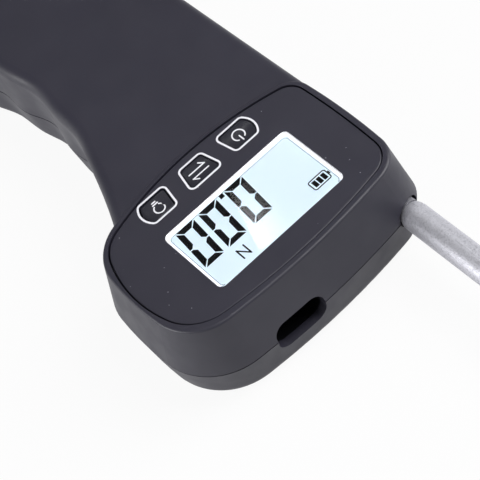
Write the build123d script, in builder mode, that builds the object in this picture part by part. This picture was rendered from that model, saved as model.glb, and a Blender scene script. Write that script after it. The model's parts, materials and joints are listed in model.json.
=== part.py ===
"""Hand-held digital force gauge with a measuring arm that turns about its own axis.

Frame: millimetres.  The gauge lies on its back: +Z points out of the display,
+Y runs from the grip to the arm end of the head, +X is to the right of
someone who reads the display.  The origin is on the back face under the head.
"""

import os
from math import cos, pi, radians, tan

from build123d import *

os.makedirs("parts", exist_ok=True)

# ---------------------------------------------------------------- housing
thickness = 26.4  # back face to display rim
seam_height = 12.0  # back face to the joint between the two shells
wall = 2.0
seam_gap = 0.35  # shadow groove at the joint
seam_lip = 0.5
beyond = 200.0  # clear of the whole gauge, for cutters
slack = 1.0  # how far a cutter runs past what it cuts

rim_left = -28.8  # corners of the display rim, before rounding
rim_right = 27.35
rim_top = 16.3
rim_bottom = -15.9
rim_top_drop = -0.1  # the top edge falls this much to the right, rises it to the left
rim_bulge = (2.4, 2.05, 4.5, 0.8)  # outward bow of the top, right, bottom and left edge
rim_corners = (7.5, 11.5, 11.5, 5.0)  # plan radii: upper left, upper right, lower right, lower left
rim_edge = 0.6
head_draft = 8.3  # degrees, front shell
back_draft = 8.2  # degrees, rear shell
back_round = 4.2
seam_corners = (7.6, 14.6, 12.5, 17.0)  # the same four at the joint

grip_step = 0.7  # grip surface below the rim
grip_end = -128.0
grip_left = -30.0  # left edge of the grip surface at Y = 0
grip_left_slope = 0.026
grip_waist_y = -60.0
grip_waist_x = 10.4
grip_neck_y = -30.0
grip_neck_rise = 5.7  # how much wider the right side is at the neck than at the waist
grip_flare = 5.6  # how much wider it is again below the waist
grip_flare_span = 44.0
grip_butt_bow = 3.0
grip_inset = 0.6  # draft of the grip's right side, front shell
grip_back_inset = 1.6
grip_left_draft = 0.1  # slope of the left wall, front shell
grip_back_draft = 0.16
grip_butt_corner = 13.0
grip_edge = 2.6
grip_tuck = 0.4  # how far the grip's ends lie inside its side
shoulder_y = -6.0
shoulder_x = 26.8  # right side of the neck where it leaves the head
shoulder_mid = (21.4, -20.2)
shoulder_share = 0.7  # share of the draft that the middle of the shoulder takes
groove_pitch = 17.5
groove_depth = 1.5
groove_first_y = -44.0
groove_count = 4
groove_fade = 0.3  # share of a groove's depth that reaches the front and back faces

# ---------------------------------------------------------------- display plate
plate_thickness = 1.5
plate_recess = 1.65
plate_gap = 0.25
plate_inset = (1.75, 2.86, 0.85, 1.35)  # from the rim: top, right, bottom and left edge
plate_bulge = (2.55, 3.95, 4.3, 0.6)
plate_corners = (5.7, 10.4, 8.2, 4.4)
plate_edge = 0.3

display_center = (-1.42, 1.89)
display_width = 34.0
display_height = 18.8
display_corner = 1.4
display_border = 0.95
display_play = 0.1
window_thickness = 0.8
surround_thickness = 0.4
lcd_thickness = 1.8
backlight_thickness = 2.5
strip_width = 1.8

# ---------------------------------------------------------------- keys
key_row_x = -0.14
key_top = -11.3
key_bottom = -17.4
key_corner = 1.1
key_line = 0.3  # width of the printed line round each opening
key_play = 0.2
side_key_inner_top = 8.2
side_key_inner_bottom = 7.1
side_key_outer = 14.2
side_key_bulge = 1.3
mid_key_top = 4.4
mid_key_bottom = 3.1
key_dish = 0.25
key_proud = -0.1  # key top against the plate's top
key_travel = 0.4
key_edge = 0.25
key_flange = 0.5
key_flange_thickness = 0.7
key_flange_play = 0.1
key_pocket_play = 0.25
stem_radius = 1.3
switch_size = 4.5
switch_height = 1.1
switch_corner = 0.4
switch_floor = 0.3
plunger_radius = 0.85
plunger_proud = 0.1  # above the pressed key's reach
plunger_foot = 0.4  # between the board and the fully pressed plunger
plunger_play = 0.15

# ---------------------------------------------------------------- board
board_left = -21.3
board_right = 19.6
board_top = 13.9
board_bottom = -17.8
board_thickness = 1.6
board_corner = 3.0
board_screw_inset = 1.9
board_screw_grip = 1.0  # how far the screws go into the deck
deck_thickness = 2.35

# ---------------------------------------------------------------- arm
arm_x = -25.4
arm_diameter = 6.35
arm_start = 18.85  # Y where the rod's rounded shoulder begins
arm_end = 85.0
arm_shoulder = 2.0  # length of the rounded shoulder
arm_tip_chamfer = 0.5
arm_groove = (0.25, 0.3)  # fine groove at the shoulder: depth, width
neck_diameter = 5.4
neck_clearance = 0.6  # between the neck and the housing, all round
journal_diameter = 3.0
journal_tail = 1.0  # behind the retaining ring
journal_lead = 0.3  # chamfer at its end
running_gap = 0.03
fit_gap = 0.02
bushing_radius = 2.0
washer_thickness = 0.4
washer_radius = 2.5
washer_play = 0.1
ring_thickness = 0.7
ring_radius = 2.5
ring_groove_depth = 0.4
ring_groove_play = 0.05
ring_opening = 1.6
holder_left = -28.1
holder_right = -21.9
holder_front = 5.8
holder_half_height = 3.0
holder_riser_left = -26.5

hook_wire = 3.6
hook_radius = 7.0
hook_shank = 5.5
hook_thread_depth = 8.0
hook_swan = 60.0  # degrees that the wire leans aside before it turns back
hook_sweep = 235.0
hook_bead = 0.3  # how much thicker the wire's rounded end is
hook_play = 0.05
nut_chamfer = 0.4
nut_across_flats = 7.0
nut_height = 3.2

# ---------------------------------------------------------------- load cell
cell_length = 40.0
cell_size = 8.0
cell_center_y = -1.5
cell_base = 7.6
cell_hole = 5.2  # diameter of the two thinned places
cell_hole_spacing = 11.0
cell_slit = 2.0
foot_thickness = 2.2
cell_screw_inset = 3.0
cell_screw_pitch = 5.0
cell_screw_radius = 1.25
cell_screw_play = 0.1
cell_screw_head = (0.9, 1.6)  # how far its head stands out, its height
cell_screw_floor = 0.4  # between the back shell's inside and the screw's end
cell_play = 0.1  # between the holder's riser and the load cell
gauge_size = (4.0, 3.0, 0.25)  # strain gauge: length, height, thickness

# ---------------------------------------------------------------- plug opening
port_x = 6.7
port_width = 12.6
port_height = 8.2
port_drop = 0.5  # centre below the joint
port_corner = 3.0
port_depth = 13.0
port_wall = 1.2

# ---------------------------------------------------------------- power
cell_diameter = 10.3
battery_length = 43.5
battery_nub = (3.6, 1.0)  # diameter, height
battery_gap = 0.9  # between the two cells
grip_center_x = -9.2
bay_top = -54.5
bay_margin = 0.95  # beside the cells
bay_wall = 1.2
bay_headroom = 0.4  # over the cells
spring_room = 4.6
plate_metal = 0.4
plate_half = (4.0, 4.2)  # half width and half height of a contact plate
door_overlap = 0.3  # of the door past the bay, on each side
door_thickness = 1.8
door_top = -50.5
door_tongue = 1.2
door_lip = 0.8
door_play = 0.15
rail_width = 1.4  # beside the tongues
rail_cover = 1.6  # over the tongues
door_pad_end = 1.5
pad_margin = 1.0
root = 0.5  # how far inner walls grow into the back shell
battery_play = 0.3

# ---------------------------------------------------------------- screws
case_screws_xy = [(23.2, 10.0), (23.2, -10.5), (-24.8, -14.0), (grip_center_x, -41.0), (grip_center_x, -117.0)]
case_boss = 3.2
case_screw_radius = 1.15
case_head_radius = 2.1
case_head_height = 1.6
case_seat = 3.6
case_screw_length = 11.5
case_play = (0.3, 0.15)  # round a screw's head and shank
small_screw_radius = 0.9
small_head_radius = 1.7
small_head_height = 1.1
small_play = (0.05, 0.2)  # in the housing, in the board
standoff_radius = 2.2
key_names = ("power", "unit", "light")
processor_spot = (-3.0, -11.0)
processor_size = (10.0, 10.0, 1.4)
amplifier_spot = (12.0, -11.0)
amplifier_size = (6.0, 5.0, 1.3)
chip_chamfer = 0.3
spring_wire = 0.5
spring_radius = 3.2
spring_turns = 4
spring_cone = -12.0  # degrees, narrower towards the cell
door_grip_start = 5.0  # from the door's top edge
door_grip_count = 4
door_grip_pitch = 2.2
door_grip_width = 12.0
door_grip_depth = 0.45
door_grip_line = 1.0

# ---------------------------------------------------------------- worked out
plate_bottom = thickness - plate_recess
plate_top = plate_bottom + plate_thickness
battery_pitch = cell_diameter + battery_gap
bay_width = battery_pitch + cell_diameter + 2 * bay_margin
door_width = bay_width + 2 * door_overlap
bay_roof = door_thickness + battery_play + cell_diameter + bay_headroom
deck_bottom = plate_bottom - deck_thickness
window_bottom = plate_top - window_thickness
surround_bottom = window_bottom - surround_thickness
lcd_bottom = surround_bottom - lcd_thickness
board_top_z = lcd_bottom - backlight_thickness
board_bottom_z = board_top_z - board_thickness
grip_top = thickness - grip_step
draft_width = (thickness - seam_height) * tan(radians(head_draft))
back_width = seam_height * tan(radians(back_draft))
arm_radius = arm_diameter / 2
neck_radius = neck_diameter / 2
journal_radius = journal_diameter / 2
neck_start = holder_front + washer_thickness + 2 * running_gap
cell_y = (cell_center_y - cell_size / 2, cell_center_y + cell_size / 2)
ring_front = cell_y[0] - washer_thickness - 2 * running_gap
journal_start = ring_front - ring_thickness - journal_tail
port_mouth = 30.0
port_floor = rim_top + draft_width - port_depth
key_flange_top = plate_bottom - key_flange_play
key_flange_bottom = key_flange_top - key_flange_thickness
key_pocket = key_flange_bottom - key_travel - key_pocket_play
plunger_top = board_top_z + switch_height + key_travel + plunger_proud
board_screw_top = deck_bottom + board_screw_grip
bay_bottom = bay_top - battery_length - battery_nub[1] - spring_room - 2 * plate_metal
cell_left = holder_right + cell_play
cell_right = cell_left + cell_length
cell_top = cell_base + cell_size
cell_screws_x = [
    cell_left + cell_screw_inset,
    cell_left + cell_screw_inset + cell_screw_pitch,
    cell_right - cell_screw_inset - cell_screw_pitch,
    cell_right - cell_screw_inset,
]
cell_screw_ends = [cell_base - foot_thickness] * 2 + [wall + cell_screw_floor] * 2


def board_screw_spots():
    """Centres of the four board screws."""
    inset = board_screw_inset
    xs = (board_left + inset, board_right - inset)
    return [(x, y) for x in xs for y in (board_bottom + inset, board_top - inset)]


def stem_spot(name):
    """Centre of a key's stem."""
    reach = (side_key_inner_top + side_key_outer) / 2
    side = {"power": -1, "unit": 0, "light": 1}[name]
    return (key_row_x + side * reach, (key_top + key_bottom) / 2)


def bowed_box(left, right, top, bottom, drop, bulge, corners):
    """Face with four outward-bowed edges and rounded corners."""
    with BuildSketch() as sketch:
        with BuildLine():
            top_left, top_right = (left, top + drop), (right, top - drop)
            low_left, low_right = (left, bottom), (right, bottom)
            SagittaArc(top_left, top_right, bulge[0])
            SagittaArc(top_right, low_right, bulge[1])
            SagittaArc(low_right, low_left, bulge[2])
            SagittaArc(low_left, top_left, bulge[3])
        make_face()
        for spot, radius in zip((top_left, top_right, low_right, low_left), corners):
            fillet(sketch.vertices().sort_by_distance(spot)[0], radius)
    return sketch.sketch


def head_face(height, margin=0.0):
    """Outline of the head at one height; a margin moves it inwards."""
    down = min((thickness - height) / (thickness - seam_height), 1.0)
    grow = draft_width * down - back_width * max(1 - height / seam_height, 0.0) - margin
    corners = [rim + (seam - rim) * down - margin for rim, seam in zip(rim_corners, seam_corners)]
    with BuildSketch(Plane.XY.offset(height)) as sketch:
        outline = bowed_box(
            rim_left - grow, rim_right + grow, rim_top + grow, rim_bottom - grow,
            rim_top_drop, rim_bulge, corners,
        )
        add(outline)
    return sketch.sketch


def plate_face(grow=0.0):
    """Outline of the display plate, grown by an even margin."""
    top, right, bottom, left = plate_inset
    return bowed_box(
        rim_left + left - grow, rim_right - right + grow, rim_top - top + grow, rim_bottom + bottom - grow,
        rim_top_drop, plate_bulge, [corner + grow for corner in plate_corners],
    )


def head_shape(low, high, margin=0.0):
    """Head between two heights on the same side of the joint."""
    with BuildPart() as shape:
        add(head_face(low, margin))
        add(head_face(high, margin))
        loft()
    return shape.part


def grip_right(y, groove):
    """Right side of the grip at a given Y: a waist, a flare and the finger grooves."""
    above = y - grip_waist_y
    if above > 0:
        x = grip_waist_x + grip_neck_rise * (above / (grip_neck_y - grip_waist_y)) ** 2
    else:
        share = min(-above / grip_flare_span, 1.0)
        x = grip_waist_x + grip_flare * (1 - cos(pi * share)) / 2
    turn = (y - groove_first_y) / groove_pitch
    if 0.5 >= turn >= 0.5 - groove_count:
        x -= groove * (1 + cos(2 * pi * turn)) / 2
    return x


def left_draft(height):
    """How far the left wall stands out beyond the edge of the grip surface."""
    front = grip_left_draft * (grip_top - max(height, seam_height))
    return front - grip_back_draft * max(seam_height - height, 0.0)


def grip_face(height, margin=0.0):
    """Outline of the grip at one height, from inside the head to the butt."""
    up = max((height - seam_height) / (grip_top - seam_height), 0.0)
    down = max(1 - height / seam_height, 0.0)
    inset = grip_inset * up + grip_back_inset * down + margin
    neck_inset = draft_width * up + back_width * down + margin
    groove = groove_depth * (1 - (1 - groove_fade) * (up + down))
    quarter = groove_pitch / 4
    last_row = grip_end + grip_butt_corner + 2
    rows = [grip_neck_y - quarter * i for i in range(int((grip_neck_y - last_row) / quarter) + 1)]
    side = [(grip_right(y, groove) - inset, y) for y in rows]
    neck_x = shoulder_x - neck_inset
    mid_inset = shoulder_share * neck_inset
    neck = [(neck_x, shoulder_y), (shoulder_mid[0] - mid_inset, shoulder_mid[1] + mid_inset)]
    low_right = (side[-1][0] - grip_tuck, grip_end + inset)
    left = grip_left - left_draft(height) + margin
    low_left = (left - grip_left_slope * grip_end, grip_end + inset)
    with BuildSketch(Plane.XY.offset(height)) as sketch:
        with BuildLine():
            Line((neck_x - grip_tuck, 0.0), neck[0])
            Spline(neck + side, tangents=[(-0.12, -1), (0, -1)])
            Line(side[-1], low_right)
            SagittaArc(low_right, low_left, grip_butt_bow)
            Line(low_left, (left, 0.0))
            Line((left, 0.0), (neck_x - grip_tuck, 0.0))
        make_face()
        fillet(sketch.vertices().group_by(Axis.Y)[0], grip_butt_corner - margin)
    return sketch.sketch


def grip_shape(low, high, margin=0.0):
    """Grip between two heights on the same side of the joint."""
    with BuildPart() as shape:
        add(grip_face(low, margin))
        add(grip_face(high, margin))
        loft()
    return shape.part


def block(x_range, y_range, z_range):
    """Rectangular solid between three pairs of limits."""
    with BuildPart() as shape:
        with BuildSketch(Plane.XY.offset(z_range[0])):
            with Locations(((x_range[0] + x_range[1]) / 2, (y_range[0] + y_range[1]) / 2)):
                Rectangle(x_range[1] - x_range[0], y_range[1] - y_range[0])
        extrude(amount=z_range[1] - z_range[0])
    return shape.part


def post(center, radius, z_range):
    """Upright cylinder between two heights."""
    with BuildPart() as shape:
        with BuildSketch(Plane.XY.offset(z_range[0])):
            with Locations(center):
                Circle(radius)
        extrude(amount=z_range[1] - z_range[0])
    return shape.part


def display_face(width, height, corner):
    """Rounded rectangle centred on the display."""
    with BuildSketch() as sketch:
        with Locations(display_center):
            RectangleRounded(width, height, corner)
    return sketch.sketch


def slab(face, z_range, edge=0.0):
    """Flat part from a face, with its upper edges rounded."""
    with BuildPart() as shape:
        with BuildSketch(Plane.XY.offset(z_range[0])):
            add(face)
        extrude(amount=z_range[1] - z_range[0])
        if edge:
            fillet(shape.faces().sort_by(Axis.Z)[-1].edges(), edge)
    return shape.part


def key_face(name, shrink):
    """Key outline: the middle key narrows downwards, the outer ones bow outwards."""
    with BuildSketch() as sketch:
        with BuildLine():
            if name == "unit":
                Polyline(
                    (key_row_x - mid_key_top, key_top), (key_row_x + mid_key_top, key_top),
                    (key_row_x + mid_key_bottom, key_bottom), (key_row_x - mid_key_bottom, key_bottom),
                    close=True,
                )
            else:
                side = -1 if name == "power" else 1
                outer = key_row_x + side * side_key_outer
                inner_top = (key_row_x + side * side_key_inner_top, key_top)
                inner_bottom = (key_row_x + side * side_key_inner_bottom, key_bottom)
                Polyline((outer, key_top), inner_top, inner_bottom, (outer, key_bottom))
                SagittaArc((outer, key_bottom), (outer, key_top), -side * side_key_bulge)
        make_face()
        fillet(sketch.vertices(), key_corner)
        if shrink:
            offset(amount=-shrink)
    return sketch.sketch


# ---------------------------------------------------------------- cutters shared by both shells
with BuildPart() as arm_hole:
    with BuildSketch(Plane((arm_x, port_mouth, seam_height), x_dir=(1, 0, 0), z_dir=(0, -1, 0))):
        Circle(neck_radius + neck_clearance)
    extrude(amount=port_mouth - neck_start - slack)

with BuildPart() as port_cut:
    with BuildSketch(Plane((port_x, port_mouth, seam_height - port_drop), x_dir=(1, 0, 0), z_dir=(0, -1, 0))):
        RectangleRounded(port_width, port_height, port_corner)
    extrude(amount=port_mouth - port_floor)

with BuildPart() as seam_ring:
    add(block((-beyond, beyond), (-beyond, beyond), (seam_height - seam_gap, seam_height)))
    extrude(head_face(seam_height - seam_gap, seam_lip), amount=seam_gap, mode=Mode.SUBTRACT)
    extrude(grip_face(seam_height - seam_gap, seam_lip), amount=seam_gap, mode=Mode.SUBTRACT)

# ---------------------------------------------------------------- front housing
with BuildPart() as front_cavity:
    add(head_shape(seam_height, deck_bottom, wall))
    add(grip_shape(seam_height, grip_top - wall, wall))

with BuildPart() as front_grip:
    add(grip_shape(seam_height, grip_top))
    fillet(front_grip.faces().sort_by(Axis.Z)[-1].edges(), grip_edge)

with BuildPart() as front_housing:
    add(head_shape(seam_height, thickness))
    fillet(front_housing.faces().sort_by(Axis.Z)[-1].edges(), rim_edge)
    add(front_grip.part)
    add(front_cavity.part, mode=Mode.SUBTRACT)
    for x, y in case_screws_xy:
        ceiling = deck_bottom if y > rim_bottom else grip_top - wall
        add(post((x, y), case_boss, (seam_height, ceiling)))
    for spot in board_screw_spots():
        add(post(spot, standoff_radius, (board_top_z, plate_bottom)))
    add(slab(plate_face(plate_gap), (plate_bottom, thickness + slack)), mode=Mode.SUBTRACT)
    opening = display_face(display_width, display_height, display_corner)
    add(slab(opening, (deck_bottom - slack, thickness)), mode=Mode.SUBTRACT)
    for name in key_names:
        add(slab(key_face(name, -key_flange - key_play), (key_pocket, thickness)), mode=Mode.SUBTRACT)
        shaft = (deck_bottom - slack, thickness)
        add(post(stem_spot(name), stem_radius + key_play, shaft), mode=Mode.SUBTRACT)
    for x, y in case_screws_xy:
        pilot = (seam_height - slack, case_seat + case_screw_length + slack)
        add(post((x, y), case_screw_radius, pilot), mode=Mode.SUBTRACT)
    for spot in board_screw_spots():
        pilot = (board_top_z - slack, board_screw_top + 2 * small_play[1])
        add(post(spot, small_screw_radius, pilot), mode=Mode.SUBTRACT)
    add(arm_hole.part, mode=Mode.SUBTRACT)
    add(port_cut.part, mode=Mode.SUBTRACT)
front_housing.part.label = "front_housing"
export_step(front_housing.part, "parts/front_housing.step")

# ---------------------------------------------------------------- rear housing
with BuildPart() as back_head:
    add(head_shape(0.0, seam_height))
    fillet(back_head.faces().sort_by(Axis.Z)[0].edges(), back_round)

with BuildPart() as back_grip:
    add(grip_shape(0.0, seam_height))
    fillet(back_grip.faces().sort_by(Axis.Z)[0].edges(), back_round)

with BuildPart() as back_skin:
    add(back_head.part)
    add(back_grip.part)

with BuildPart() as back_cavity:
    add(head_shape(wall, seam_height, wall))
    add(grip_shape(wall, seam_height, wall))

bay_left = grip_center_x - bay_width / 2
bay_right = grip_center_x + bay_width / 2
door_left = grip_center_x - door_width / 2
door_right = grip_center_x + door_width / 2
pad_top = door_thickness + door_play + rail_cover
tongue_left = door_left - door_tongue
tongue_right = door_right + door_tongue

with BuildPart() as inner_pad:
    pad_x = (tongue_left - rail_width, tongue_right + rail_width)
    add(block(pad_x, (grip_end + wall, door_top + door_pad_end), (wall - root, pad_top)))
    add(grip_shape(pad_margin, seam_height, pad_margin), mode=Mode.INTERSECT)

with BuildPart() as rear_housing:
    add(back_skin.part)
    add(back_cavity.part, mode=Mode.SUBTRACT)
    add(inner_pad.part)
    tub_y = (bay_bottom - bay_wall, bay_top + bay_wall)
    add(block((bay_left - bay_wall, bay_right + bay_wall), tub_y, (wall - root, bay_roof + bay_wall)))
    for x, y in case_screws_xy:
        add(post((x, y), case_boss, (wall - root, seam_height)))
    pedestal_x = (cell_right - 2 * cell_screw_inset - cell_screw_pitch, cell_right)
    add(block(pedestal_x, cell_y, (wall - root, cell_base)))
    bay_y = (bay_bottom, bay_top)
    add(block((bay_left, bay_right), bay_y, (-slack, bay_roof)), mode=Mode.SUBTRACT)
    slide_y = (-beyond, door_top + door_play)
    slide_x = (door_left - door_play, door_right + door_play)
    add(block(slide_x, slide_y, (-slack, door_lip)), mode=Mode.SUBTRACT)
    add(
        block((tongue_left - door_play, tongue_right + door_play), slide_y, (door_lip, door_thickness + door_play)),
        mode=Mode.SUBTRACT,
    )
    for x, y in case_screws_xy:
        add(post((x, y), case_head_radius + case_play[0], (-slack, case_seat)), mode=Mode.SUBTRACT)
        add(post((x, y), case_screw_radius + case_play[1], (0, seam_height + slack)), mode=Mode.SUBTRACT)
    for x in cell_screws_x[2:]:
        pilot = (wall + cell_screw_floor / 2, cell_base + slack)
        add(post((x, cell_center_y), cell_screw_radius, pilot), mode=Mode.SUBTRACT)
    add(seam_ring.part, mode=Mode.SUBTRACT)
    add(arm_hole.part, mode=Mode.SUBTRACT)
    add(port_cut.part, mode=Mode.SUBTRACT)
rear_housing.part.label = "rear_housing"
export_step(rear_housing.part, "parts/rear_housing.step")

# ---------------------------------------------------------------- battery door
with BuildPart() as door_plan:
    door_y = (-beyond, door_top)
    add(block((door_left, door_right), door_y, (-slack, door_thickness)))
    add(block((tongue_left, tongue_right), door_y, (door_lip + door_play, door_thickness)))

with BuildPart() as battery_door:
    add(back_skin.part)
    add(door_plan.part, mode=Mode.INTERSECT)
    for row in range(door_grip_count):
        y = door_top - door_grip_start - door_grip_pitch * row
        grip_x = (grip_center_x - door_grip_width / 2, grip_center_x + door_grip_width / 2)
        grip_y = (y - door_grip_line / 2, y + door_grip_line / 2)
        add(block(grip_x, grip_y, (-slack, door_grip_depth)), mode=Mode.SUBTRACT)
battery_door.part.label = "battery_door"
export_step(battery_door.part, "parts/battery_door.step")

# ---------------------------------------------------------------- display plate
with BuildPart() as face_plate:
    add(slab(plate_face(), (plate_bottom, plate_top), plate_edge))
    opening = display_face(display_width, display_height, display_corner)
    add(slab(opening, (plate_bottom - slack, thickness)), mode=Mode.SUBTRACT)
    for name in key_names:
        add(slab(key_face(name, key_line), (plate_bottom - slack, thickness)), mode=Mode.SUBTRACT)
face_plate.part.label = "face_plate"
export_step(face_plate.part, "parts/face_plate.step")

window_size = (display_width - 2 * display_play, display_height - 2 * display_play)
with BuildPart() as display_window:
    face = display_face(*window_size, display_corner - display_play)
    add(slab(face, (window_bottom, plate_top), 0.15))
display_window.part.label = "display_window"
export_step(display_window.part, "parts/display_window.step")

with BuildPart() as display_surround:
    face = display_face(*window_size, display_corner - display_play)
    add(slab(face, (surround_bottom, window_bottom)))
    clear = (window_size[0] - 2 * display_border, window_size[1] - 2 * display_border)
    hole = display_face(*clear, display_corner - display_play - 0.5)
    add(slab(hole, (surround_bottom - slack, window_bottom + slack)), mode=Mode.SUBTRACT)
display_surround.part.label = "display_surround"
export_step(display_surround.part, "parts/display_surround.step")

lcd_size = (display_width - 4 * display_play, display_height - 4 * display_play)
with BuildPart() as lcd_panel:
    add(slab(display_face(*lcd_size, display_corner - 2 * display_play), (lcd_bottom, surround_bottom)))
lcd_panel.part.label = "lcd_panel"
export_step(lcd_panel.part, "parts/lcd_panel.step")

with BuildPart() as backlight:
    lamp_height = lcd_size[1] - 2 * strip_width - 4 * display_play
    add(slab(display_face(lcd_size[0] - 1, lamp_height, 0.5), (board_top_z, lcd_bottom)))
backlight.part.label = "backlight"
export_step(backlight.part, "parts/backlight.step")

with BuildPart() as contact_strips:
    reach = (lcd_size[1] - strip_width) / 2 - display_play
    for side in (-1, 1):
        with BuildSketch(Plane.XY.offset(board_top_z)):
            with Locations((display_center[0], display_center[1] + side * reach)):
                Rectangle(lcd_size[0] - 3, strip_width)
        extrude(amount=backlight_thickness)
contact_strips.part.label = "contact_strips"
export_step(contact_strips.part, "parts/contact_strips.step")

# ---------------------------------------------------------------- board
with BuildPart() as main_board:
    with BuildSketch(Plane.XY.offset(board_bottom_z)):
        with Locations(((board_left + board_right) / 2, (board_top + board_bottom) / 2)):
            RectangleRounded(board_right - board_left, board_top - board_bottom, board_corner)
        with Locations(*board_screw_spots()):
            Circle(small_screw_radius + small_play[1], mode=Mode.SUBTRACT)
    extrude(amount=board_thickness)
main_board.part.label = "main_board"
export_step(main_board.part, "parts/main_board.step")

with BuildPart() as board_screws:
    for spot in board_screw_spots():
        add(post(spot, small_head_radius, (board_bottom_z - small_head_height, board_bottom_z)))
        add(post(spot, small_screw_radius - small_play[0], (board_bottom_z, board_screw_top)))
board_screws.part.label = "board_screws"
export_step(board_screws.part, "parts/board_screws.step")

with BuildPart() as processor_chip:
    with BuildSketch(Plane.XY.offset(board_bottom_z)):
        with Locations(processor_spot):
            Rectangle(*processor_size[:2])
    extrude(amount=-processor_size[2])
    chamfer(processor_chip.faces().sort_by(Axis.Z)[0].edges(), chip_chamfer)
processor_chip.part.label = "processor_chip"
export_step(processor_chip.part, "parts/processor_chip.step")

with BuildPart() as amplifier_chip:
    with BuildSketch(Plane.XY.offset(board_bottom_z)):
        with Locations(amplifier_spot):
            Rectangle(*amplifier_size[:2])
    extrude(amount=-amplifier_size[2])
    chamfer(amplifier_chip.faces().sort_by(Axis.Z)[0].edges(), chip_chamfer)
amplifier_chip.part.label = "amplifier_chip"
export_step(amplifier_chip.part, "parts/amplifier_chip.step")

# ---------------------------------------------------------------- keys
with BuildPart() as key_switches:
    for name in key_names:
        with BuildSketch(Plane.XY.offset(board_top_z)):
            with Locations(stem_spot(name)):
                RectangleRounded(switch_size, switch_size, switch_corner)
        extrude(amount=switch_height)
        hole = (board_top_z + switch_floor, board_top_z + switch_height + slack)
        add(post(stem_spot(name), plunger_radius + plunger_play, hole), mode=Mode.SUBTRACT)
key_switches.part.label = "key_switches"
export_step(key_switches.part, "parts/key_switches.step")

for name in key_names:
    with BuildPart() as key:
        add(slab(key_face(name, -key_flange), (key_flange_bottom, key_flange_top)))
        cap = key_face(name, key_line + key_play)
        add(slab(cap, (key_flange_top, plate_top + key_proud), key_edge))
        add(post(stem_spot(name), stem_radius, (plunger_top, key_flange_bottom)))
        half = (key_top - key_bottom) / 2
        dish_radius = (half * half + key_dish * key_dish) / (2 * key_dish)
        dish_center = (key_row_x, (key_top + key_bottom) / 2, plate_top + key_proud - key_dish + dish_radius)
        with Locations(Location(dish_center, (0, 90, 0))):
            Cylinder(dish_radius, beyond, mode=Mode.SUBTRACT)
    key.part.label = name + "_key"
    export_step(key.part, "parts/" + name + "_key.step")

    with BuildPart() as plunger:
        add(post(stem_spot(name), plunger_radius, (board_top_z + key_travel + plunger_foot, plunger_top)))
    plunger.part.label = name + "_plunger"
    export_step(plunger.part, "parts/" + name + "_plunger.step")

# ---------------------------------------------------------------- arm
arm_plane = Plane((arm_x, 0, seam_height), x_dir=(1, 0, 0), z_dir=(0, 0, 1))
arm_line = Axis((arm_x, 0, seam_height), (0, 1, 0))
groove_depth_y, groove_width = arm_groove

with BuildPart() as measuring_arm:
    with BuildSketch(arm_plane):
        with BuildLine():
            groove_back = ring_front + ring_groove_play
            groove_front = ring_front - ring_thickness - ring_groove_play
            Polyline(
                (arm_radius, arm_start + arm_shoulder), (arm_radius, arm_end - arm_tip_chamfer),
                (arm_radius - arm_tip_chamfer, arm_end), (0, arm_end), (0, journal_start),
                (journal_radius - journal_lead, journal_start), (journal_radius, journal_start + journal_lead),
                (journal_radius, groove_front), (journal_radius - ring_groove_depth, groove_front),
                (journal_radius - ring_groove_depth, groove_back), (journal_radius, groove_back),
                (journal_radius, neck_start), (neck_radius, neck_start),
                (neck_radius, arm_start - groove_width), (neck_radius - groove_depth_y, arm_start - groove_width),
                (neck_radius - groove_depth_y, arm_start), (neck_radius, arm_start),
            )
            TangentArc((arm_radius, arm_start + arm_shoulder), (neck_radius, arm_start), tangent=(0, -1))
        make_face()
    revolve(axis=arm_line)
    with BuildSketch(Plane((arm_x, arm_end, seam_height), x_dir=(1, 0, 0), z_dir=(0, -1, 0))):
        Circle(hook_wire / 2 + hook_play)
    extrude(amount=hook_thread_depth + slack, mode=Mode.SUBTRACT)
measuring_arm.part.label = "measuring_arm"
export_step(measuring_arm.part, "parts/measuring_arm.step")

rod_tip = (arm_x, arm_end, seam_height)
with BuildPart() as hook:
    with BuildLine(Plane(rod_tip, x_dir=(1, 0, 0), z_dir=(0, 0, 1))) as hook_path:
        shank = Line((0, -hook_thread_depth), (0, hook_shank))
        swan = JernArc(shank @ 1, shank % 1, hook_radius, -hook_swan)
        bow = JernArc(swan @ 1, swan % 1, hook_radius, hook_sweep)
    with BuildSketch(Plane(shank @ 0, z_dir=shank % 0)):
        Circle(hook_wire / 2)
    sweep()
    with Locations(bow @ 1):
        Sphere(hook_wire / 2 + hook_bead)
hook.part.label = "hook"
export_step(hook.part, "parts/hook.step")

with BuildPart() as hook_lock_nut:
    with BuildSketch(Plane(rod_tip, x_dir=(1, 0, 0), z_dir=(0, 1, 0))):
        RegularPolygon(nut_across_flats / 2, 6, major_radius=False)
        Circle(hook_wire / 2 + hook_play, mode=Mode.SUBTRACT)
    extrude(amount=nut_height)
    chamfer(hook_lock_nut.faces().sort_by(Axis.Y)[-1].edges().filter_by(GeomType.LINE), nut_chamfer)
hook_lock_nut.part.label = "hook_lock_nut"
export_step(hook_lock_nut.part, "parts/hook_lock_nut.step")


def sleeve(outer, inner, y_range):
    """Ring or tube round the arm's axis between two Y positions."""
    with BuildPart() as shape:
        with BuildSketch(Plane((arm_x, y_range[0], seam_height), x_dir=(-1, 0, 0), z_dir=(0, 1, 0))):
            Circle(outer)
            if inner:
                Circle(inner, mode=Mode.SUBTRACT)
        extrude(amount=y_range[1] - y_range[0])
    return shape.part


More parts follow.
